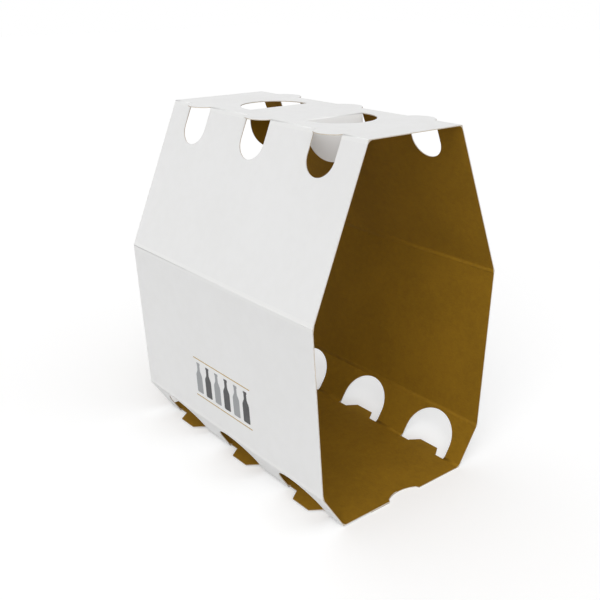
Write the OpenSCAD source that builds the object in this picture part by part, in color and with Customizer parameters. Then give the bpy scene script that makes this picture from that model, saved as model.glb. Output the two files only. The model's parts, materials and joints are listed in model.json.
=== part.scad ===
// Six pack carrier: one die-cut sheet of paperboard, wrapped round two rows of
// three bottles and lapped under the base. Every panel between two creases is a
// part of its own, made of a kraft board and the white liner on its outside.
// The origin is under the middle of the base, and the bottles stand in rows
// along Y.

/* [Bottles] */
// Diameter of a bottle, which is the pitch of the rows
bottle_d = 61.3; // [56:0.1:66]
// Number of bottles in a row
bottle_count = 3; // [2:1:4]

/* [Section] */
// Height from the base to the top of the handle panel
carrier_h = 217; // [190:1:250]
// Width of the handle panel between its folds
handle_w = 70.4; // [62:0.2:80]
// Width at the folds between shoulders and sides, the widest of all
body_w = 143; // [128:0.5:160]
// Height of the folds between shoulders and sides
shoulder_h = 124.6; // [110:0.2:140]
// Width at the folds between sides and heels
heel_w = 127.6; // [118:0.2:134]
// Height of the folds between sides and heels
heel_h = 23.5; // [21:0.1:28]
// Width of the base between its folds
base_w = 95.8; // [88:0.2:104]

/* [Board] */
// Thickness of the whole board
board_t = 0.6; // [0.4:0.05:0.8]
// Thickness of the white liner on its outside
liner_t = 0.15; // [0.08:0.01:0.2]
// Gap between the bead of a crease and the panel that turns on it
crease_gap = 0.1; // [0.05:0.01:0.2]
// Gap between the two base flaps where they lap
lap_gap = 0.1; // [0.05:0.01:0.3]

/* [Finger holes] */
// Distance of each finger flap's crease from the middle of the handle
finger_y = 25.4; // [22:0.2:32]
// Width of a finger hole
finger_w = 44.8; // [38:0.2:50]
// Depth of a finger hole from its crease
finger_reach = 26.4; // [24:0.2:28]
// Kerf round a finger flap
kerf = 0.3; // [0.2:0.05:0.6]
// Angle at which the finger flaps hang below the handle
flap_hang = 82; // [60:1:100]

/* [Neck openings] */
// Width of a neck opening
neck_w = 22.6; // [18:0.2:27]
// Depth of a neck opening down the shoulder
neck_reach = 25; // [20:0.2:32]
// Width of the lip that the handle panel keeps over a neck opening
lip_w = 21.6; // [14:0.2:21.8]
// Reach of that lip past the fold
lip_reach = 8; // [5:0.2:10]

/* [Heel openings] */
// Width of a heel opening
arch_w = 37.2; // [30:0.2:44]
// Strip of board between a heel opening and the fold above it
arch_rim = 1.6; // [1.2:0.1:3]
// Width of a base tab at its root
tab_root_w = 23.4; // [18:0.2:28]
// Width of a base tab at its end
tab_end_w = 14.6; // [10:0.2:17]
// Reach of a base tab past the fold
tab_reach = 6.3; // [4:0.1:9]

/* [Base flaps] */
// Distance of the inner flap's free edge from the middle of the base
inner_stop = 2; // [1:0.2:8]
// Length over which the outer flap runs on under the inner one
lap = 25; // [15:0.5:35]
// Width of the notch in each end of the base
notch_w = 24.8; // [18:0.2:30]
// Depth of that notch
notch_reach = 4.9; // [3.5:0.1:6]
// Depth of the short slanted steps at its two ends
notch_step = 2; // [1.5:0.1:3]
// Length that a slanted step takes up
notch_slant = 1.2; // [0.6:0.1:1.6]

/* [Hidden] */
$fn = 64;
kraft = "#86622a";
white = "#f2f2f0";

carrier_len = bottle_count * bottle_d;
core_t = board_t - liner_t;
// A panel starts clear of the bead that it turns on
panel_start = board_t + crease_gap;
// Overrun of every cut past the board
over = 2 * board_t;
// The inner base flap lies on the outer one
inner_lift = board_t + lap_gap;
lip_r = (lip_w * lip_w / 4 + lip_reach * lip_reach) / (2 * lip_reach);
notch_rise = notch_reach - notch_step;
notch_half = notch_w / 2 - notch_slant;
notch_r = (notch_half * notch_half + notch_rise * notch_rise) / (2 * notch_rise);
// Flat root of a bead, which overlaps the end of its panel
bead_root = board_t;
panel_short = bead_root / 2;
// Sweep of a bead's liner past the outer face of the panel that it carries
wrap_past = 60;

// Section of the carrier, right half, seen from the near end, top to bottom.
// The last corner lies on the line of the heel, at the height of the flap.
function outer_corners(lift) = [
    [handle_w / 2, carrier_h],
    [body_w / 2, shoulder_h],
    [heel_w / 2, heel_h],
    [base_w / 2 + (heel_w - base_w) / 2 * lift / heel_h, lift]
];
function heading(from, to) = atan2(to[1] - from[1], to[0] - from[0]);
function headings(corners) = [
    0,
    heading(corners[0], corners[1]),
    heading(corners[1], corners[2]),
    heading(corners[2], corners[3]),
    -180
];
function outward(angle) = [-sin(angle), cos(angle)];
// Where the inner faces of two panels meet, which is the axis of their crease
function crease_axis(corner, before, after) =
    corner - board_t * (outward(before) + outward(after)) / (1 + outward(before) * outward(after));
function crease_axes(corners, turns) =
    [for (i = [0:3]) crease_axis(corners[i], turns[i], turns[i + 1])];

turns = headings(outer_corners(0));
outer_axes = crease_axes(outer_corners(0), turns);
inner_axes = crease_axes(outer_corners(inner_lift), turns);
function panel_len(axes, i) = norm(axes[i] - axes[i - 1]);
// Angle through which the board is folded at crease i
function fold_at(i) = turns[i] - turns[i + 1];

function bottle_y(i) = (i - (bottle_count - 1) / 2) * bottle_d;
// Stretches of a crease that openings of one width leave between them
function stretches(opening_w) = [for (i = [0:bottle_count]) [
    i == 0 ? -carrier_len / 2 : bottle_y(i - 1) + opening_w / 2,
    i == bottle_count ? carrier_len / 2 : bottle_y(i) - opening_w / 2
]];
whole_crease = [[-carrier_len / 2, carrier_len / 2]];

// Places a panel that is drawn with its crease on Y, its width along X and its
// inner face at Z = 0
module at_crease(axes, i) {
    translate([axes[i - 1][0], 0, axes[i - 1][1]])
        rotate([0, -turns[i], 0])
            children();
}
module on_left() {
    mirror([1, 0, 0]) children();
}
module at_each_bottle() {
    for (i = [0:bottle_count - 1])
        translate([0, bottle_y(i)]) children();
}
module ply(is_liner) {
    translate([0, 0, is_liner ? core_t : 0])
        linear_extrude(is_liner ? liner_t : core_t)
            children();
}

// Wedge of the plane that starts straight up and turns clockwise
module wedge(sweep) {
    far = 3 * board_t;
    polygon([[0, 0], [0, far], far * [sin(sweep / 2), cos(sweep / 2)], far * [sin(sweep), cos(sweep)]]);
}
// Bead of a crease round the Y axis, at the end of a panel that comes from -X
module bead(is_liner, fold, stretch) {
    translate([0, stretch[1], 0])
        rotate([90, 0, 0])
            linear_extrude(stretch[1] - stretch[0])
                if (is_liner) {
                    translate([-bead_root, core_t]) square([bead_root, liner_t]);
                    intersection() {
                        difference() {
                            circle(board_t);
                            circle(core_t);
                        }
                        wedge(fold + wrap_past);
                    }
                } else {
                    translate([-bead_root, 0]) square([bead_root, core_t]);
                    circle(core_t);
                }
}
module beads(is_liner, fold, places) {
    for (stretch = places)
        bead(is_liner, fold, stretch);
}

// Round-ended shape that starts at a crease and points along X
module tongue(width, reach) {
    translate([-over, -width / 2]) square([reach - width / 2 + over, width]);
    translate([reach - width / 2, 0]) circle(width / 2);
}
module panel_sheet(start, end) {
    translate([start, -carrier_len / 2]) square([end - start, carrier_len]);
}

// Handle panel, its finger holes and its neck lips
module finger_side(side) {
    rotate(side * 90)
        translate([finger_y, 0])
            children();
}
module neck_lips() {
    at_each_bottle()
        intersection() {
            translate([lip_reach - lip_r, 0]) circle(lip_r);
            translate([-over, -lip_w / 2]) square([lip_reach + 2 * over, lip_w]);
        }
}
module handle_sheet() {
    half = outer_axes[0][0];
    difference() {
        union() {
            panel_sheet(panel_short - half, half - panel_short);
            for (side = [0, 1])
                mirror([side, 0])
                    translate([half, 0]) neck_lips();
        }
        for (side = [-1, 1])
            finger_side(side)
                intersection() {
                    tongue(finger_w, finger_reach);
                    translate([0, -finger_w]) square([2 * finger_reach, 2 * finger_w]);
                }
    }
}
finger_bead = [[-finger_w / 2 + kerf, finger_w / 2 - kerf]];
module handle_panel(is_liner) {
    half = outer_axes[0][0];
    translate([0, 0, carrier_h - board_t]) {
        ply(is_liner) handle_sheet();
        for (side = [0, 1])
            mirror([side, 0, 0])
                translate([half, 0, 0]) beads(is_liner, fold_at(0), stretches(neck_w));
        for (side = [-1, 1])
            finger_side(side) beads(is_liner, flap_hang, finger_bead);
    }
}
module finger_flap(is_liner, side) {
    translate([0, 0, carrier_h - board_t])
        finger_side(side)
            rotate([0, flap_hang, 0])
                ply(is_liner)
                    intersection() {
                        tongue(finger_w - 2 * kerf, finger_reach - kerf);
                        translate([panel_start, -finger_w]) square([finger_reach, 2 * finger_w]);
                    }
}

// Shoulder panel with its neck openings
module shoulder(is_liner, axes) {
    length = panel_len(axes, 1);
    at_crease(axes, 1) {
        ply(is_liner)
            difference() {
                panel_sheet(panel_start, length - panel_short);
                at_each_bottle() tongue(neck_w, neck_reach);
            }
        translate([length, 0, 0]) beads(is_liner, fold_at(1), whole_crease);
    }
}

// Plain side panel
module side_panel(is_liner, axes) {
    length = panel_len(axes, 2);
    at_crease(axes, 2) {
        ply(is_liner) panel_sheet(panel_start, length - panel_short);
        translate([length, 0, 0]) beads(is_liner, fold_at(2), whole_crease);
    }
}

// Heel panel with the openings that the bottles' lower edges fill
module heel(is_liner, axes) {
    length = panel_len(axes, 3);
    at_crease(axes, 3) {
        ply(is_liner)
            difference() {
                panel_sheet(panel_start, length - panel_short);
                at_each_bottle()
                    translate([length, 0])
                        rotate(180) tongue(arch_w, length - arch_rim);
            }
        translate([length, 0, 0]) beads(is_liner, fold_at(3), stretches(arch_w));
    }
}

// Base flaps with their tabs and end notches
// Side of a tab, or of the sheet where there is no tab, at the tab's root or end
function tab_side(i, width, side) =
    i < 0 || i == bottle_count ? -side * (carrier_len / 2 + over) : bottle_y(i) + side * width / 2;
// Waste between tab i - 1 and tab i
module tab_waste(i) {
    polygon([
        [panel_start, tab_side(i - 1, tab_root_w, 1)],
        [panel_start, tab_side(i, tab_root_w, -1)],
        [0, tab_side(i, tab_root_w, -1)],
        [-tab_reach, tab_side(i, tab_end_w, -1)],
        [-tab_reach - over, tab_side(i, tab_end_w, -1)],
        [-tab_reach - over, tab_side(i - 1, tab_end_w, 1)],
        [-tab_reach, tab_side(i - 1, tab_end_w, 1)],
        [0, tab_side(i - 1, tab_root_w, 1)]
    ]);
}
// Notch that bites into +Y from an end of the base, where its steps run on as
// slants until the arc ends them
module end_notch() {
    slant_h = notch_reach + over;
    top_half = notch_w / 2 - notch_slant * slant_h / notch_step;
    intersection() {
        polygon([
            [-notch_w / 2, 0],
            [-notch_w / 2, -over],
            [notch_w / 2, -over],
            [notch_w / 2, 0],
            [top_half, slant_h],
            [-top_half, slant_h]
        ]);
        translate([0, notch_reach - notch_r]) circle(notch_r);
    }
}
module base_flap(is_liner, axes, reach) {
    at_crease(axes, 4)
        ply(is_liner)
            difference() {
                panel_sheet(-tab_reach, reach);
                for (i = [0:bottle_count])
                    tab_waste(i);
                for (end = [0, 1])
                    mirror([0, end])
                        translate([axes[3][0], -carrier_len / 2]) end_notch();
            }
}

module handle_panel_board() { color(kraft) handle_panel(false); }
module handle_panel_liner() { color(white) handle_panel(true); }
module near_finger_flap_board() { color(kraft) finger_flap(false, -1); }
module near_finger_flap_liner() { color(white) finger_flap(true, -1); }
module far_finger_flap_board() { color(kraft) finger_flap(false, 1); }
module far_finger_flap_liner() { color(white) finger_flap(true, 1); }
module left_shoulder_board() { color(kraft) on_left() shoulder(false, inner_axes); }
module left_shoulder_liner() { color(white) on_left() shoulder(true, inner_axes); }
module right_shoulder_board() { color(kraft) shoulder(false, outer_axes); }
module right_shoulder_liner() { color(white) shoulder(true, outer_axes); }
module left_side_board() { color(kraft) on_left() side_panel(false, inner_axes); }
module left_side_liner() { color(white) on_left() side_panel(true, inner_axes); }
module right_side_board() { color(kraft) side_panel(false, outer_axes); }
module right_side_liner() { color(white) side_panel(true, outer_axes); }
module left_heel_board() { color(kraft) on_left() heel(false, inner_axes); }
module left_heel_liner() { color(white) on_left() heel(true, inner_axes); }
module right_heel_board() { color(kraft) heel(false, outer_axes); }
module right_heel_liner() { color(white) heel(true, outer_axes); }
inner_reach = inner_axes[3][0] - inner_stop;
outer_reach = outer_axes[3][0] + inner_stop + lap;
module inner_base_flap_board() { color(kraft) on_left() base_flap(false, inner_axes, inner_reach); }
module inner_base_flap_liner() { color(white) on_left() base_flap(true, inner_axes, inner_reach); }
module outer_base_flap_board() { color(kraft) base_flap(false, outer_axes, outer_reach); }
module outer_base_flap_liner() { color(white) base_flap(true, outer_axes, outer_reach); }

handle_panel_board();
handle_panel_liner();
near_finger_flap_board();
near_finger_flap_liner();
far_finger_flap_board();
far_finger_flap_liner();
left_shoulder_board();
left_shoulder_liner();
right_shoulder_board();
right_shoulder_liner();
left_side_board();
left_side_liner();
right_side_board();
right_side_liner();
left_heel_board();
left_heel_liner();
right_heel_board();
right_heel_liner();
inner_base_flap_board();
inner_base_flap_liner();
outer_base_flap_board();
outer_base_flap_liner();
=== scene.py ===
import json
import math
from collections import namedtuple

import bmesh
import bpy
from bpy.props import FloatProperty, FloatVectorProperty, IntProperty, PointerProperty
from mathutils import Matrix, Vector

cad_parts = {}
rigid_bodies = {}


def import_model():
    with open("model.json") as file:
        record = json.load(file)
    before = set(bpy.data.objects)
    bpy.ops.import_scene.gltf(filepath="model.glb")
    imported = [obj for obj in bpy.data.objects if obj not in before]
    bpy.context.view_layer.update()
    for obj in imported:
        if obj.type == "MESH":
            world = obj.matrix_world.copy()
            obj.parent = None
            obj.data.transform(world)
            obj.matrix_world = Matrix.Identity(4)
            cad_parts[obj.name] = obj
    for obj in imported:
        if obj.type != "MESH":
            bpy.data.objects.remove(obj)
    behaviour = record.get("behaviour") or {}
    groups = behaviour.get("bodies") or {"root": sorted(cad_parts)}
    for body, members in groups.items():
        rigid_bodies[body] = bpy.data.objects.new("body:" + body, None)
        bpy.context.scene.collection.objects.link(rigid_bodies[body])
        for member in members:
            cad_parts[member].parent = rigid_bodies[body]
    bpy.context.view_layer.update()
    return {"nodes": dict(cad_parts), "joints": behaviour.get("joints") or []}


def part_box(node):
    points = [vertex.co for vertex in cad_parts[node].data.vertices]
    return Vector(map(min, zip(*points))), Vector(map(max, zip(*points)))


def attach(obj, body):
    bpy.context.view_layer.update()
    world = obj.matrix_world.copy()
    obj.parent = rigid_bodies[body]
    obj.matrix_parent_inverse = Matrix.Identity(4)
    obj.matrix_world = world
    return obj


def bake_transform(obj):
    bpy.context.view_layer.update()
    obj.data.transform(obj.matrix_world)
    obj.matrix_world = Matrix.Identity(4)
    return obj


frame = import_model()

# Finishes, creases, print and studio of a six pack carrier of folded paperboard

bl_info = {
    "name": "Six pack carrier",
    "version": (1, 0, 0),
    "blender": (4, 5, 0),
    "location": "View3D > Sidebar > Carrier",
    "description": "Dresses a folded paperboard bottle carrier: board, liner, creases, print and stage",
    "category": "Object",
}

MM = 0.001
JOINTS = {joint["name"]: joint for joint in frame["joints"]}

# Board and liner, as the base flap that rests on the floor has them
CORE_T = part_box("outer_base_flap_board")[1].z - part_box("outer_base_flap_board")[0].z
BOARD_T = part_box("outer_base_flap_board")[1].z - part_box("outer_base_flap_liner")[0].z
HALF_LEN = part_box("left_side_board")[1].y
BOTTLE_ROW = 3
PITCH = 2 * HALF_LEN / BOTTLE_ROW
FINGER_CREASE_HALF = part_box("near_finger_flap_board")[1].x
RUB_WIDTH = 0.6 * MM

# Folds of the wrap, each on the panel that the one before it carries, from the handle down to the base
FOLD_ORDER = ("shoulder", "side", "heel", "base")

# A crease's foot is on the inner face of its parent panel, and its places are the runs of board along it
Crease = namedtuple("Crease", "name parent child foot along outward axis fold places")


def slider(name, description, default, unit="NONE", **limits):
    """Number that the user may change."""
    return FloatProperty(name=name, description=description, default=default, unit=unit, **limits)


def length(name, description, default):
    """Length in metres that the user may change."""
    return slider(name, description, default, "LENGTH", min=0.0, precision=5)


def colour(name, description, default):
    """Colour in linear light that the user may change."""
    return FloatVectorProperty(
        name=name, description=description, default=default, subtype="COLOR", size=3, min=0.0, max=1.0
    )


def vector(name, description, default):
    """Point or way in the row frame that the user may change."""
    return FloatVectorProperty(name=name, description=description, default=default, subtype="XYZ", size=3)


class CarrierSizes(bpy.types.PropertyGroup):
    """Sizes of the pieces that dress the carrier."""

    neck_opening: length("Neck opening", "Width of a neck opening at the fold", 22.6 * MM)
    heel_opening: length("Heel opening", "Width of a heel opening at the base fold", 37.2 * MM)
    heel_reach: length("Heel reach", "Reach of a fold's pieces on the rim over the heel openings", 1.5 * MM)
    skin_reach: length("Skin reach", "How far a crease's liner runs onto each panel", 2.2 * MM)
    skin_clear: length("Skin clearance", "Least room of a crease's liner over its bead", 0.02 * MM)
    skin_edge: length("Skin edge", "Rise of a crease's liner over the panel at its edge", 0.01 * MM)
    shoulder_round: length("Shoulder fold radius", "Outer radius of the top folds", 0.75 * MM)
    side_round: length("Side fold radius", "Outer radius of the middle folds", 1.2 * MM)
    heel_round: length("Heel fold radius", "Outer radius of the heel folds", 1.0 * MM)
    base_round: length("Base fold radius", "Outer radius of the base folds", 0.9 * MM)
    flap_round: length("Flap fold radius", "Outer radius of the finger flaps' folds", 0.75 * MM)
    ridge_height: length("Ridge height", "Height of a crease's ridge, were it not rounded", 0.51 * MM)
    ridge_reach: length("Ridge reach", "Half width of that ridge", 2.4 * MM)
    ridge_round: length("Ridge rounding", "Half width of the rounding along the ridge", 1.0 * MM)
    ridge_sink: length("Ridge sink", "Depth of the ridge's feet in the board", 0.1 * MM)
    end_proud: length("End proud", "How far crease pieces pass the cut ends of the board", 0.02 * MM)
    arc_steps: IntProperty(name="Arc steps", description="Facets across a fold", default=6, min=2)


class CarrierPrint(bpy.types.PropertyGroup):
    """Sizes of the plain printed mark on the left side."""

    drop: length("Drop", "Way from the middle fold down to the mark's upper line", 59.0 * MM)
    tall: length("Height", "Way from the upper line to the lower one", 27.0 * MM)
    wide: length("Width", "Length of the two lines", 60.0 * MM)
    line: length("Line", "Thickness of the lines", 0.7 * MM)
    bottles: IntProperty(name="Bottles", description="Bottles in the row", default=6, min=1)
    bottle_wide: length("Bottle width", "Width of a printed bottle", 6.6 * MM)
    bottle_tall: length("Bottle height", "Height of a printed bottle", 21.0 * MM)
    rounding: length("Rounding", "Rounding of a printed bottle's corners", 0.9 * MM)
    ink_proud: length("Ink", "Height of the ink over the liner", 0.015 * MM)
    ink_sink: length("Ink depth", "How far the ink's shape goes into the liner", 0.05 * MM)


class CarrierColours(bpy.types.PropertyGroup):
    """Colours of the board, the liner and the print."""

    kraft: colour("Kraft", "Middle colour of the uncoated board", (0.33, 0.174, 0.0105))
    kraft_dark: colour("Kraft fibre", "Darker fibres of the board", (0.225, 0.118, 0.007))
    kraft_cut: colour("Cut edge", "Freshly cut edges of the board", (0.6, 0.53, 0.43))
    liner: colour("Liner", "Clay-coated liner", (0.85, 0.85, 0.848))
    liner_shade: colour("Liner cloud", "Thinner coating, where the paper shows", (0.832, 0.831, 0.826))
    print_dark: colour("Dark ink", "Ink of every other bottle in the mark", (0.022, 0.022, 0.024))
    print_grey: colour("Grey ink", "Ink of the bottles between them", (0.30, 0.31, 0.32))
    print_gold: colour("Gold ink", "Ink of the lines in the mark", (0.48, 0.31, 0.06))


class CarrierStage(bpy.types.PropertyGroup):
    """Floor, light and camera."""

    floor_colour: colour("Floor", "Pale floor", (0.8, 0.8, 0.8))
    floor_half: length("Floor size", "Half the width of the floor", 4.0)
    floor_drop: length("Floor gap", "Gap between the floor and the carrier's base", 0.1 * MM)
    floor_glow: slider("Floor glow", "White that the camera sees on the floor", 0.28, min=0.0)
    dome: slider("Dome", "Strength of the soft light from the room", 1.06, min=0.0)
    dome_from: vector("Dome from", "Way to the brightest part of the room", (-0.1, -0.3, 1.0))
    key: slider("Key", "Strength of the soft lamp", 1.2, min=0.0)
    key_from: vector("Key from", "Way to the soft lamp", (-0.1234, -0.1, 0.11))
    key_angle: slider("Key width", "Angle that the soft lamp fills", math.radians(50), "ROTATION", min=0.0)
    sensor: slider("Sensor", "Width of the camera's sensor, in mm", 36.0, min=1.0)
    lens: slider("Lens", "Focal length on that sensor, in mm", 51.749, min=1.0)
    shift: FloatVectorProperty(
        name="Shift",
        description="Shift of the frame, as a share of its width",
        default=(-0.00953, -0.13708),
        size=2,
    )
    eye: vector("Eye", "Place of the camera", (-0.32827, -0.39956, 0.29521))
    aim: FloatVectorProperty(
        name="Aim",
        description="Turn of the camera",
        default=(math.radians(74.34975), math.radians(-0.01811), math.radians(-39.38268)),
        subtype="EULER",
        size=3,
    )


def sizes():
    """The size settings."""
    return bpy.context.scene.carrier_sizes


def printed():
    """The settings of the printed mark."""
    return bpy.context.scene.carrier_print


def colours():
    """The colour settings."""
    return bpy.context.scene.carrier_colours


def node(tree, kind, **settings):
    """Adds a node, with settings for its own properties."""
    made = tree.nodes.new(kind)
    for name, value in settings.items():
        setattr(made, name, value)
    return made


def feed(tree, socket, value):
    """Links a socket to another one, or gives it a plain value."""
    if isinstance(value, bpy.types.NodeSocket):
        tree.links.new(value, socket)
    elif isinstance(value, (tuple, list)) or hasattr(value, "r"):
        plain = tuple(value)
        socket.default_value = (*plain, 1.0) if socket.type == "RGBA" and len(plain) == 3 else plain
    else:
        socket.default_value = value


def calc(tree, operation, *terms, clamp=False):
    """Math node on plain numbers or sockets."""
    made = node(tree, "ShaderNodeMath", operation=operation, use_clamp=clamp)
    for socket, term in zip(made.inputs, terms):
        feed(tree, socket, term)
    return made.outputs[0]


def weigh(tree, first, second, first_share, second_share):
    """Sum of two values, each times its share."""
    first_part = calc(tree, "MULTIPLY", first, first_share)
    return calc(tree, "ADD", first_part, calc(tree, "MULTIPLY", second, second_share))


def stretch(tree, coordinates, scale):
    """Mapping node that only scales, so that a pattern runs long or short along an axis."""
    made = node(tree, "ShaderNodeMapping")
    feed(tree, made.inputs["Vector"], coordinates)
    made.inputs["Scale"].default_value = scale
    return made.outputs["Vector"]


def noise(tree, coordinates, scale, detail=2.0, roughness=0.5):
    """Noise from 0 to 1."""
    made = node(tree, "ShaderNodeTexNoise")
    feed(tree, made.inputs["Vector"], coordinates)
    feed(tree, made.inputs["Scale"], scale)
    made.inputs["Detail"].default_value = detail
    made.inputs["Roughness"].default_value = roughness
    return made.outputs["Fac"]


def remap(tree, value, low, high, to_low=0.0, to_high=1.0):
    """Takes low..high to to_low..to_high, with soft ends."""
    made = node(tree, "ShaderNodeMapRange", interpolation_type="SMOOTHSTEP")
    for name, term in (("Value", value), ("From Min", low), ("From Max", high)):
        feed(tree, made.inputs[name], term)
    made.inputs["To Min"].default_value = to_low
    made.inputs["To Max"].default_value = to_high
    return made.outputs["Result"]


def mix(tree, share, first, second):
    """Mixes two colours."""
    made = node(tree, "ShaderNodeMix", data_type="RGBA")
    feed(tree, made.inputs["Factor"], share)
    feed(tree, made.inputs["A"], first)
    feed(tree, made.inputs["B"], second)
    return made.outputs["Result"]


def group(name, takes, gives):
    """Empty node group with float, vector or colour sockets."""
    tree = bpy.data.node_groups.new(name, "ShaderNodeTree")
    for direction, sockets in (("INPUT", takes), ("OUTPUT", gives)):
        for label, kind, default in sockets:
            made = tree.interface.new_socket(name=label, in_out=direction, socket_type="NodeSocket" + kind)
            if default is not None:
                made.default_value = default
    return tree, node(tree, "NodeGroupInput").outputs, node(tree, "NodeGroupOutput").inputs


def fibre_group():
    """Paper fibres, long along Y, which is the way that the web of board ran."""
    tree, takes, gives = group(
        "Paper fibres",
        [("Vector", "Vector", None), ("Fineness", "Float", 1.0)],
        [("Fibres", "Float", None), ("Specks", "Float", None)],
    )
    bend_scale = 260.0
    bend_reach = (4 * MM,) * 3
    fibre_scale = 1500.0
    speck_scale = 620.0
    long_fibres = (1.0, 0.16, 1.0)
    cross_fibres = (0.4, 0.75, 0.4)
    long_specks = (1.0, 0.35, 1.0)
    long_share = 0.65
    shifted = node(tree, "ShaderNodeVectorMath", operation="MULTIPLY_ADD")
    feed(tree, shifted.inputs[0], bend_reach)
    feed(tree, shifted.inputs[1], noise(tree, takes["Vector"], bend_scale))
    feed(tree, shifted.inputs[2], takes["Vector"])
    bent = shifted.outputs[0]
    fine = calc(tree, "MULTIPLY", takes["Fineness"], fibre_scale)
    long_way = noise(tree, stretch(tree, bent, long_fibres), fine, detail=3.0, roughness=0.6)
    cross_way = noise(tree, stretch(tree, bent, cross_fibres), fine, detail=2.0, roughness=0.6)
    blended = weigh(tree, long_way, cross_way, long_share, 1 - long_share)
    feed(tree, gives["Fibres"], remap(tree, blended, low=0.3, high=0.7))
    sparse = noise(tree, stretch(tree, bent, long_specks), speck_scale, detail=1.0, roughness=0.5)
    feed(tree, gives["Specks"], remap(tree, sparse, low=0.68, high=0.76))
    return tree


def cloud_group():
    """Cloudiness of pulp or coating, in broad and in small patches."""
    tree, takes, gives = group(
        "Pulp clouds",
        [("Vector", "Vector", None), ("Size", "Float", 1.0)],
        [("Clouds", "Float", None)],
    )
    broad_scale = 28.0
    small_scale = 240.0
    broad_share = 0.55
    broad = noise(tree, takes["Vector"], calc(tree, "DIVIDE", broad_scale, takes["Size"]))
    small = noise(tree, takes["Vector"], calc(tree, "DIVIDE", small_scale, takes["Size"]), roughness=0.55)
    both = weigh(tree, broad, small, broad_share, 1 - broad_share)
    feed(tree, gives["Clouds"], remap(tree, both, low=0.32, high=0.68))
    return tree


def rub_group():
    """Rubbed line along the two open ends of the carrier, broken up by noise."""
    tree, takes, gives = group(
        "End rub",
        [("Vector", "Vector", None), ("Half length", "Float", HALF_LEN), ("Width", "Float", RUB_WIDTH)],
        [("Rub", "Float", None)],
    )
    parts = node(tree, "ShaderNodeSeparateXYZ")
    feed(tree, parts.inputs[0], takes["Vector"])
    inside = calc(tree, "SUBTRACT", takes["Half length"], calc(tree, "ABSOLUTE", parts.outputs["Y"]))
    near = calc(tree, "SUBTRACT", 1.0, calc(tree, "DIVIDE", inside, takes["Width"]), clamp=True)
    chip_scale = 420.0
    chips = noise(tree, takes["Vector"], chip_scale, detail=3.0, roughness=0.6)
    broken = remap(tree, chips, low=0.42, high=0.66)
    feed(tree, gives["Rub"], calc(tree, "MULTIPLY", near, broken, clamp=True))
    return tree


def cut_group():
    """Cut edges of a panel: the faces that look neither the way its outside does nor the opposite way."""
    tree, takes, gives = group(
        "Cut edges",
        [("Vector", "Vector", None), ("Outside", "Vector", (0.0, 0.0, 1.0))],
        [("Cut", "Float", None)],
    )
    facing = node(tree, "ShaderNodeVectorMath", operation="DOT_PRODUCT")
    feed(tree, facing.inputs[0], takes["Vector"])
    feed(tree, facing.inputs[1], takes["Outside"])
    flat = calc(tree, "ABSOLUTE", facing.outputs["Value"])
    feed(tree, gives["Cut"], remap(tree, flat, low=0.6, high=0.4))
    return tree


def placed(tree, shared, coordinates, **values):
    """Places a shared node group in a material, with its own values."""
    made = node(tree, "ShaderNodeGroup", node_tree=bpy.data.node_groups[shared])
    feed(tree, made.inputs["Vector"], coordinates)
    for name, value in values.items():
        feed(tree, made.inputs[name.replace("_", " ").capitalize()], value)
    return made.outputs


def new_material(name):
    """Material with its Principled shader, and the object's own coordinates."""
    material = bpy.data.materials.new(name)
    material.use_nodes = True
    tree = material.node_tree
    shader = tree.nodes["Principled BSDF"]
    own = node(tree, "ShaderNodeTexCoord").outputs["Object"]
    return material, tree, shader, own


def bump(tree, shader, height, strength, distance):
    """Relief on the shader's normal."""
    made = node(tree, "ShaderNodeBump")
    made.inputs["Strength"].default_value = strength
    made.inputs["Distance"].default_value = distance
    feed(tree, made.inputs["Height"], height)
    feed(tree, shader.inputs["Normal"], made.outputs["Normal"])


def kraft_material(name, outside=None):
    """Uncoated kraft board. Given the way that a panel's outside faces, it shows that panel's cut edges."""
    material, tree, shader, own = new_material(name)
    fibres = placed(tree, "Paper fibres", own, Fineness=1.0)
    clouds = placed(tree, "Pulp clouds", own, Size=1.0)["Clouds"]
    fibre_share = 0.5
    cloud_share = 0.4
    speck_share = 0.45
    least_rough = 0.8
    fibre_rough = 0.12
    cloud_relief = 0.6
    share = weigh(tree, fibres["Fibres"], clouds, fibre_share, cloud_share)
    base = mix(tree, share, colours().kraft_dark, colours().kraft)
    base = mix(tree, calc(tree, "MULTIPLY", fibres["Specks"], speck_share), base, colours().kraft_dark)
    if outside is not None:
        facing = node(tree, "ShaderNodeTexCoord").outputs["Normal"]
        cut = placed(tree, "Cut edges", facing, Outside=tuple(outside))["Cut"]
        base = mix(tree, cut, base, colours().kraft_cut)
    feed(tree, shader.inputs["Base Color"], base)
    rough = calc(tree, "ADD", least_rough, calc(tree, "MULTIPLY", fibres["Fibres"], fibre_rough))
    feed(tree, shader.inputs["Roughness"], rough)
    shader.inputs["Specular IOR Level"].default_value = 0.15
    relief = calc(tree, "ADD", fibres["Fibres"], calc(tree, "MULTIPLY", clouds, cloud_relief))
    bump(tree, shader, relief, strength=0.35, distance=0.05 * MM)
    return material


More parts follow.
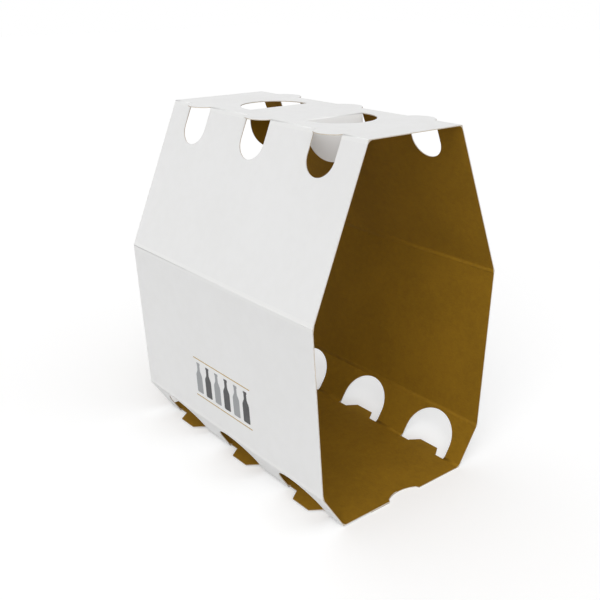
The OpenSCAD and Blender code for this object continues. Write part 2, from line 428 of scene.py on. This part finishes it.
def liner_material(name, crack_share):
    """White clay-coated liner. crack_share is how much of a fold shows cracked coating."""
    material, tree, shader, own = new_material(name)
    clouds = placed(tree, "Pulp clouds", own, Size=1.6)["Clouds"]
    fibres = placed(tree, "Paper fibres", own, Fineness=0.8)["Fibres"]
    base = mix(tree, clouds, colours().liner_shade, colours().liner)
    rub = placed(tree, "End rub", own, Half_length=HALF_LEN, Width=RUB_WIDTH)["Rub"]
    rub_share = 0.2
    fibre_relief = 0.5
    crack_scale = 2600.0
    long_cracks = (1.0, 0.08, 1.0)
    worn = mix(tree, calc(tree, "MULTIPLY", rub, rub_share), base, colours().kraft)
    if crack_share:
        lines = noise(tree, stretch(tree, own, long_cracks), crack_scale, roughness=0.6)
        cracks = remap(tree, lines, low=0.58, high=0.7)
        worn = mix(tree, calc(tree, "MULTIPLY", cracks, crack_share), worn, colours().kraft)
    feed(tree, shader.inputs["Base Color"], worn)
    feed(tree, shader.inputs["Roughness"], remap(tree, clouds, 0.0, 1.0, to_low=0.55, to_high=0.46))
    shader.inputs["Specular IOR Level"].default_value = 0.2
    shader.inputs["Coat Weight"].default_value = 0.03
    shader.inputs["Coat Roughness"].default_value = 0.35
    relief = calc(tree, "ADD", calc(tree, "MULTIPLY", fibres, fibre_relief), clouds)
    bump(tree, shader, relief, strength=0.08, distance=0.03 * MM)
    return material


def ink_material(name, ink, metal):
    """Printing ink, thinner where the coating drank it."""
    material, tree, shader, own = new_material(name)
    clouds = placed(tree, "Pulp clouds", own, Size=0.4)["Clouds"]
    seen_through = 0.12
    thin_share = 0.5
    thin = mix(tree, seen_through, ink, colours().liner)
    feed(tree, shader.inputs["Base Color"], mix(tree, calc(tree, "MULTIPLY", clouds, thin_share), ink, thin))
    feed(tree, shader.inputs["Roughness"], remap(tree, clouds, 0.0, 1.0, to_low=0.4, to_high=0.55))
    shader.inputs["Metallic"].default_value = metal
    return material


def finish_node(name, material):
    """Gives a CAD node its material."""
    for held in frame["nodes"][name].material_slots:
        held.material = material


def piece(bm, name, materials):
    """Named piece from a bmesh, with its normals outward and its finish."""
    bmesh.ops.recalc_face_normals(bm, faces=bm.faces)
    mesh = bpy.data.meshes.new(name)
    bm.to_mesh(mesh)
    bm.free()
    for material in materials:
        mesh.materials.append(material)
    made = bpy.data.objects.new(name, mesh)
    bpy.context.scene.collection.objects.link(made)
    return made


def stretches(opening):
    """Parts of a crease that openings of one width, one a bottle, leave between them."""
    middles = [(i - (BOTTLE_ROW - 1) / 2) * PITCH for i in range(BOTTLE_ROW)]
    starts = [-HALF_LEN - sizes().end_proud] + [middle + opening / 2 for middle in middles]
    ends = [middle - opening / 2 for middle in middles] + [HALF_LEN + sizes().end_proud]
    return list(zip(starts, ends))


def wrap_creases():
    """The eight creases of the wrap, down the right side and then the left."""
    whole = [(-HALF_LEN - sizes().end_proud, HALF_LEN + sizes().end_proud)]
    places = {
        "shoulder": stretches(sizes().neck_opening),
        "side": whole,
        "heel": whole,
        "base": stretches(sizes().heel_opening),
    }
    found = []
    for side, sign in (("right", 1), ("left", -1)):
        heading = 0.0
        for fold_name in FOLD_ORDER:
            name = f"{side}_{fold_name}"
            joint = JOINTS[name + "_crease"]
            fold = math.radians(joint["range_deg"][1])
            along = Vector((sign * math.cos(heading), 0, math.sin(heading)))
            outward = Vector((-sign * math.sin(heading), 0, math.cos(heading)))
            axis = Vector((0, 1, 0))
            foot = Vector(joint["pos_m"])
            panels = (joint["parent"], joint["child"])
            found.append(Crease(name, *panels, foot, along, outward, axis, fold, places[fold_name]))
            heading -= fold
    return found


def flap_creases():
    """The creases on which the two finger flaps hang."""
    found = []
    for end, sign in (("near", -1), ("far", 1)):
        joint = JOINTS[f"{end}_finger_flap_crease"]
        fold = math.radians(-joint["range_deg"][0])
        along = Vector((0, sign, 0))
        outward = Vector((0, 0, 1))
        axis = Vector((1, 0, 0))
        foot = Vector(joint["pos_m"])
        panels = (joint["parent"], joint["child"])
        places = [(-FINGER_CREASE_HALF, FINGER_CREASE_HALF)]
        found.append(Crease(f"{end}_flap", *panels, foot, along, outward, axis, fold, places))
    return found


def outer_radius(crease):
    """Radius to which a crease's outer face is folded."""
    return getattr(sizes(), crease.name.split("_")[1] + "_round")


def on_child(crease, along, height):
    """Point over the panel that the crease carries, in the plane across the crease."""
    fold = crease.fold
    return (
        along * math.cos(fold) + height * math.sin(fold),
        height * math.cos(fold) - along * math.sin(fold),
    )


def panel_outsides():
    """The way that the outside of every body's panel faces."""
    faces = {"handle_panel": Vector((0, 0, 1))}
    for crease in wrap_creases() + flap_creases():
        across = on_child(crease, 0.0, 1.0)
        faces[crease.child] = crease.along * across[0] + crease.outward * across[1]
    return faces


def on_bisector(crease, reach):
    """Point on the line that halves the fold, outward for a positive reach."""
    half = crease.fold / 2
    return (reach * math.sin(half), reach * math.cos(half))


def corner(crease, height):
    """Point where the planes at one height over both inner faces meet."""
    return on_bisector(crease, height / math.cos(crease.fold / 2))


def prism(bm, outline, start, end, rounded, rounding):
    """Extrudes an outline across a crease from start to end along it, and rounds one of its long edges."""
    ring = [bm.verts.new((along, start, outward)) for along, outward in outline]
    cap = bm.faces.new(ring)
    swept = bmesh.ops.extrude_face_region(bm, geom=[cap])["geom"]
    moved = [part for part in swept if isinstance(part, bmesh.types.BMVert)]
    bmesh.ops.translate(bm, verts=moved, vec=(0, end - start, 0))
    vertex = ring[rounded]
    long_edge = [edge for edge in vertex.link_edges if abs(edge.other_vert(vertex).co.y - vertex.co.y) > MM]
    made = bmesh.ops.bevel(
        bm,
        geom=long_edge,
        offset=rounding,
        segments=sizes().arc_steps,
        profile=0.5,
        affect="EDGES",
        material=-1,
    )
    arc_verts = set(made["verts"])
    arc = [face for face in made["faces"] if arc_verts.issuperset(face.verts)]
    for face in arc:
        face.smooth = True
    return arc


def set_in_place(bm, crease, foot):
    """Takes a shape from the crease's own directions to the row frame."""
    turned = Matrix((crease.along, crease.axis, crease.outward)).transposed().to_4x4()
    bmesh.ops.transform(bm, matrix=Matrix.Translation(foot) @ turned, verts=bm.verts)


def bend_with(made, crease):
    """Bakes the piece's place into its mesh; the piece does not bend with its fold."""
    least = 0.5 * MM
    start = max(least, (outer_radius(crease) - BOARD_T) * math.tan(crease.fold / 2))
    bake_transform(made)


def child_reach(crease, reach):
    """Reach onto the child panel, which is short over the heel openings."""
    return min(reach, sizes().heel_reach) if crease.name.endswith("heel") else reach


def make_skin(crease, plain, cracked):
    """White liner carried over the outside of a fold."""
    radius = outer_radius(crease)
    slack = 1 / math.cos(crease.fold / 2) - 1
    least = BOARD_T + sizes().skin_clear
    top = (least + radius * slack) * math.cos(crease.fold / 2)
    edge = BOARD_T + sizes().skin_edge
    back = sizes().skin_reach
    front = child_reach(crease, back)
    outline = [
        (-back, CORE_T),
        (-back, edge),
        corner(crease, top),
        on_child(crease, front, edge),
        on_child(crease, front, CORE_T),
        corner(crease, CORE_T),
    ]
    outer_corner = 2
    bm = bmesh.new()
    for start, end in crease.places:
        for face in prism(bm, outline, start, end, outer_corner, radius * math.tan(crease.fold / 2)):
            face.material_index = 1
    set_in_place(bm, crease, crease.foot)
    made = piece(bm, crease.name + "_crease_skin", [plain, cracked])
    bend_with(made, crease)


def make_ridge(crease, kraft, cut_kraft):
    """Kraft ridge that the creasing rule raised inside a fold, with the board's core in the fold."""
    back = sizes().ridge_reach
    front = child_reach(crease, back)
    sink = sizes().ridge_sink
    outline = [
        (-back, CORE_T),
        corner(crease, CORE_T),
        on_child(crease, front, CORE_T),
        on_child(crease, front, sink),
        on_bisector(crease, -sizes().ridge_height),
        (-back, sink),
    ]
    crest = 4
    bm = bmesh.new()
    for start, end in crease.places:
        prism(bm, outline, start, end, crest, sizes().ridge_round)
    bm.normal_update()
    straight_on = 0.9
    for face in bm.faces:
        face.material_index = 1 if abs(face.normal.y) > straight_on else 0
    set_in_place(bm, crease, crease.foot)
    made = piece(bm, crease.name + "_crease_ridge", [kraft, cut_kraft])
    bend_with(made, crease)


def print_shape(bm, corners, rounded=(), rounding=0.0):
    """Printed shape from its corners, each (down, across) on the panel, with the thickness of its ink."""
    low = BOARD_T - printed().ink_sink
    ring = [bm.verts.new((down, across, low)) for down, across in corners]
    face = bm.faces.new(ring)
    if rounded:
        made = bmesh.ops.bevel(
            bm,
            geom=[ring[i] for i in rounded],
            offset=rounding,
            segments=sizes().arc_steps,
            profile=0.5,
            affect="VERTICES",
            material=-1,
        )
        face = made["verts"][0].link_faces[0]
    swept = bmesh.ops.extrude_face_region(bm, geom=[face])["geom"]
    moved = [part for part in swept if isinstance(part, bmesh.types.BMVert)]
    bmesh.ops.translate(bm, verts=moved, vec=(0, 0, printed().ink_sink + printed().ink_proud))


def print_line(bm, down):
    """Printed line across the panel."""
    half = printed().wide / 2
    edge = down + printed().line
    print_shape(bm, [(down, -half), (down, half), (edge, half), (edge, -half)])


def print_bottle(bm, foot, middle):
    """Printed bottle that stands upright with its foot at a height on the panel."""
    body = printed().bottle_wide / 2
    neck = body * 0.42
    lip = body * 0.54
    tall = printed().bottle_tall
    shoulder_low = 0.58 * tall
    shoulder_top = 0.74 * tall
    lip_low = 0.93 * tall
    right = [
        (0.0, body),
        (shoulder_low, body),
        (shoulder_top, neck),
        (lip_low, neck),
        (lip_low, lip),
        (tall, lip),
    ]
    left = [(height, -half) for height, half in reversed(right)]
    corners = [(foot - height, middle + half) for height, half in right + left]
    shoulders_and_feet = (0, 1, 2, 9, 10, 11)
    print_shape(bm, corners, shoulders_and_feet, printed().rounding)


def mark_heights():
    """Ways down the panel to the mark's upper line, its lower line and its bottles' feet."""
    top = printed().drop
    bottom = top + printed().tall - printed().line
    return top, bottom, (top + printed().line + bottom + printed().bottle_tall) / 2


def drawn_lines():
    """The two lines of the mark."""
    top, bottom, _ = mark_heights()
    bm = bmesh.new()
    for down in (top, bottom):
        print_line(bm, down)
    return bm


def drawn_bottles(first):
    """Every other bottle of the mark, from the given one on."""
    foot = mark_heights()[2]
    step = printed().wide / printed().bottles
    middles = [(i + 0.5) * step - printed().wide / 2 for i in range(printed().bottles)]
    bm = bmesh.new()
    for middle in middles[first::2]:
        print_bottle(bm, foot, middle)
    return bm


def make_print(name, material, bm):
    """Printed piece on the left side, from a shape drawn down and across the panel from the fold over it."""
    panel = next(crease for crease in wrap_creases() if crease.parent == "left_side")
    set_in_place(bm, panel, Vector(JOINTS["left_side_crease"]["pos_m"]))
    made = piece(bm, name, [material])
    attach(made, "left_side")


class CARRIER_OT_board(bpy.types.Operator):
    """Give the kraft board of every panel its fibres, clouds and cut edges"""

    bl_idname = "carrier.board"
    bl_label = "Kraft board"
    bl_options = {"REGISTER", "UNDO"}

    def execute(self, context):
        """Runs the step."""
        for shared in (fibre_group, cloud_group, rub_group, cut_group):
            shared()
        kraft_material("kraft_crease")
        # No way counts as outside at a crease's ends, which are cut edge all over
        kraft_material("kraft_crease_end", Vector((0, 0, 0)))
        for body, outside in panel_outsides().items():
            finish_node(body + "_board", kraft_material("kraft_" + body, outside))
        return {"FINISHED"}


class CARRIER_OT_liner(bpy.types.Operator):
    """Give the white liner of every panel its coating"""

    bl_idname = "carrier.liner"
    bl_label = "White liner"
    bl_options = {"REGISTER", "UNDO"}

    def execute(self, context):
        """Runs the step."""
        liner_material("white_liner_fold", crack_share=0.05)
        plain = liner_material("white_liner", crack_share=0.0)
        for name in frame["nodes"]:
            if name.endswith("_liner"):
                finish_node(name, plain)
        return {"FINISHED"}


class CARRIER_OT_crease_skins(bpy.types.Operator):
    """Carry the liner over the outside of every fold"""

    bl_idname = "carrier.crease_skins"
    bl_label = "Crease skins"
    bl_options = {"REGISTER", "UNDO"}

    def execute(self, context):
        """Runs the step."""
        finishes = [bpy.data.materials["white_liner"], bpy.data.materials["white_liner_fold"]]
        for crease in wrap_creases() + flap_creases():
            make_skin(crease, *finishes)
        return {"FINISHED"}


class CARRIER_OT_crease_ridges(bpy.types.Operator):
    """Raise the kraft ridge inside every fold"""

    bl_idname = "carrier.crease_ridges"
    bl_label = "Crease ridges"
    bl_options = {"REGISTER", "UNDO"}

    def execute(self, context):
        """Runs the step."""
        finishes = [bpy.data.materials["kraft_crease"], bpy.data.materials["kraft_crease_end"]]
        for crease in wrap_creases() + flap_creases():
            make_ridge(crease, *finishes)
        return {"FINISHED"}


class CARRIER_OT_print(bpy.types.Operator):
    """Print the plain mark on the left side: a row of bottles between two lines"""

    bl_idname = "carrier.print"
    bl_label = "Printed mark"
    bl_options = {"REGISTER", "UNDO"}

    def execute(self, context):
        """Runs the step."""
        gold = ink_material("gold_ink", colours().print_gold, metal=0.35)
        make_print("mark_lines", gold, drawn_lines())
        dark = ink_material("dark_ink", colours().print_dark, metal=0.0)
        make_print("mark_dark_bottles", dark, drawn_bottles(0))
        grey = ink_material("grey_ink", colours().print_grey, metal=0.0)
        make_print("mark_grey_bottles", grey, drawn_bottles(1))
        return {"FINISHED"}


class CARRIER_OT_stage(bpy.types.Operator):
    """Set up the pale floor, the soft light and the camera"""

    bl_idname = "carrier.stage"
    bl_label = "Stage"
    bl_options = {"REGISTER", "UNDO"}

    def execute(self, context):
        """Runs the step."""
        stage = bpy.context.scene.carrier_stage
        make_floor(stage)
        make_light(stage)
        make_camera(stage)
        bpy.context.scene.view_settings.view_transform = "Standard"
        return {"FINISHED"}


def seen_ray(tree):
    """One for the rays that show a background: the camera's, mirrored ones and those through clear parts."""
    path = node(tree, "ShaderNodeLightPath").outputs
    mirrored = calc(tree, "MAXIMUM", path["Is Glossy Ray"], path["Is Transmission Ray"])
    return calc(tree, "MAXIMUM", path["Is Camera Ray"], mirrored)


def make_floor(stage):
    """Pale floor that keeps the shadow and looks white elsewhere."""
    bm = bmesh.new()
    bmesh.ops.create_grid(bm, x_segments=1, y_segments=1, size=stage.floor_half)
    bmesh.ops.translate(bm, verts=bm.verts, vec=(0, 0, -stage.floor_drop))
    mesh = bpy.data.meshes.new("studio_floor")
    bm.to_mesh(mesh)
    bm.free()
    floor = bpy.data.objects.new("studio_floor", mesh)
    bpy.context.scene.collection.objects.link(floor)
    material, tree, shader, _ = new_material("pale_floor")
    feed(tree, shader.inputs["Base Color"], stage.floor_colour)
    shader.inputs["Roughness"].default_value = 0.9
    shader.inputs["Specular IOR Level"].default_value = 0.0
    shader.inputs["Emission Color"].default_value = (1, 1, 1, 1)
    feed(tree, shader.inputs["Emission Strength"], calc(tree, "MULTIPLY", seen_ray(tree), stage.floor_glow))
    mesh.materials.append(material)


def make_light(stage):
    """Room light from overhead with a soft lamp from the left front, and a white background."""
    world = bpy.data.worlds.new("studio")
    world.use_nodes = True
    tree = world.node_tree
    light = tree.nodes["Background"]
    light.inputs["Color"].default_value = (1, 1, 1, 1)
    facing = node(tree, "ShaderNodeVectorMath", operation="DOT_PRODUCT")
    feed(tree, facing.inputs[0], node(tree, "ShaderNodeTexCoord").outputs["Generated"])
    feed(tree, facing.inputs[1], tuple(stage.dome_from))
    overhead = calc(tree, "MAXIMUM", facing.outputs["Value"], 0.0)
    feed(tree, light.inputs["Strength"], calc(tree, "MULTIPLY", overhead, stage.dome))
    backdrop = node(tree, "ShaderNodeBackground")
    backdrop.inputs["Color"].default_value = (1, 1, 1, 1)
    backdrop.inputs["Strength"].default_value = 1.0
    chosen = node(tree, "ShaderNodeMixShader")
    feed(tree, chosen.inputs["Fac"], seen_ray(tree))
    feed(tree, chosen.inputs[1], light.outputs["Background"])
    feed(tree, chosen.inputs[2], backdrop.outputs["Background"])
    feed(tree, tree.nodes["World Output"].inputs["Surface"], chosen.outputs["Shader"])
    bpy.context.scene.world = world
    key = bpy.data.lights.new("soft_key", "SUN")
    key.energy = stage.key
    key.angle = stage.key_angle
    lamp = bpy.data.objects.new("soft_key", key)
    bpy.context.scene.collection.objects.link(lamp)
    lamp.rotation_mode = "QUATERNION"
    lamp.rotation_quaternion = Vector(stage.key_from).to_track_quat("Z", "Y")


def make_camera(stage):
    """Camera at the photograph's place, a little above the carrier and off its near left corner."""
    lens = bpy.data.cameras.new("camera")
    lens.sensor_width = stage.sensor
    lens.lens = stage.lens
    lens.shift_x, lens.shift_y = stage.shift
    camera = bpy.data.objects.new("camera", lens)
    camera.location = stage.eye
    camera.rotation_euler = stage.aim
    bpy.context.scene.collection.objects.link(camera)
    bpy.context.scene.camera = camera


class CARRIER_PT_panel(bpy.types.Panel):
    """Steps and settings of the carrier"""

    bl_idname = "CARRIER_PT_panel"
    bl_label = "Six pack carrier"
    bl_space_type = "VIEW_3D"
    bl_region_type = "UI"
    bl_category = "Carrier"

    def draw(self, context):
        """Lists the steps in order, and the settings under them."""
        for step in STEPS:
            self.layout.operator(step.bl_idname)
        for label in SETTINGS:
            settings = getattr(context.scene, label)
            box = self.layout.box()
            for name in settings.__annotations__:
                box.prop(settings, name)


STEPS = (
    CARRIER_OT_board,
    CARRIER_OT_liner,
    CARRIER_OT_crease_skins,
    CARRIER_OT_crease_ridges,
    CARRIER_OT_print,
    CARRIER_OT_stage,
)
SETTINGS = {
    "carrier_sizes": CarrierSizes,
    "carrier_print": CarrierPrint,
    "carrier_colours": CarrierColours,
    "carrier_stage": CarrierStage,
}


def register():
    """Registers the settings, the steps and the panel."""
    for name, settings in SETTINGS.items():
        bpy.utils.register_class(settings)
        setattr(bpy.types.Scene, name, PointerProperty(type=settings))
    for made in (*STEPS, CARRIER_PT_panel):
        bpy.utils.register_class(made)


def unregister():
    """Takes them out again."""
    for made in (CARRIER_PT_panel, *reversed(STEPS)):
        bpy.utils.unregister_class(made)
    for name, settings in SETTINGS.items():
        delattr(bpy.types.Scene, name)
        bpy.utils.unregister_class(settings)


def main():
    """Dresses the carrier."""
    register()
    bpy.ops.carrier.board()
    bpy.ops.carrier.liner()
    bpy.ops.carrier.crease_skins()
    bpy.ops.carrier.crease_ridges()
    bpy.ops.carrier.print()
    bpy.ops.carrier.stage()


if __name__ == "__main__":
    main()
